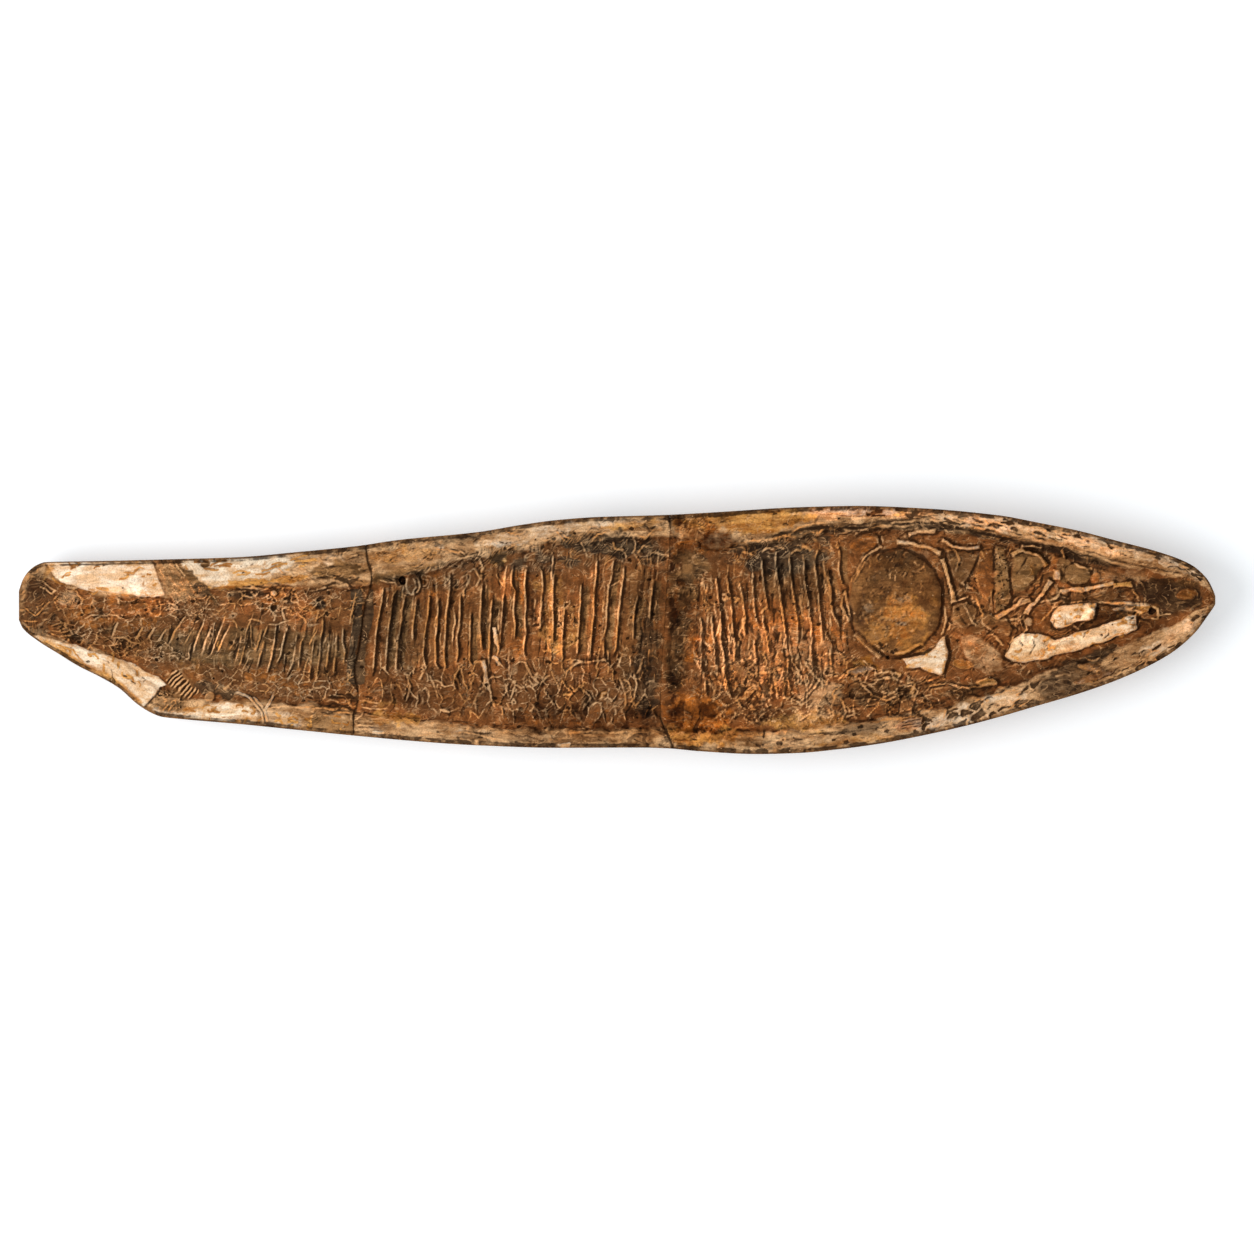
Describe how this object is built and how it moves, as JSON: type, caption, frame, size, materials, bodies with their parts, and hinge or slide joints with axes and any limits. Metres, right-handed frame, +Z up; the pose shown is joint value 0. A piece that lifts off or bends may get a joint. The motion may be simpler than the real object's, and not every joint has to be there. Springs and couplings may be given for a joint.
{
  "type": "fossil fish slab",
  "caption": "Half of a fish-shaped stone nodule with the fossil fish in low relief on its split face, broken across and set together again; it lies on its flat underside.",
  "frame": {"origin": "middle of the underside, at the centre of the outline and on the surface that the slab lies on", "axes": "+X from the tail to the snout, +Y towards the fish's back, +Z up through the split face with the fish"},
  "size_m": [0.442, 0.0916, 0.0307],
  "materials": {
    "fossil_stone": "matt brown limestone with tan rims, cream patches and lightly polished bone"
  },
  "bodies": {
    "root": {"tail_block": "fossil_stone", "middle_block": "fossil_stone", "head_block": "fossil_stone"}
  },
  "joints": []
}
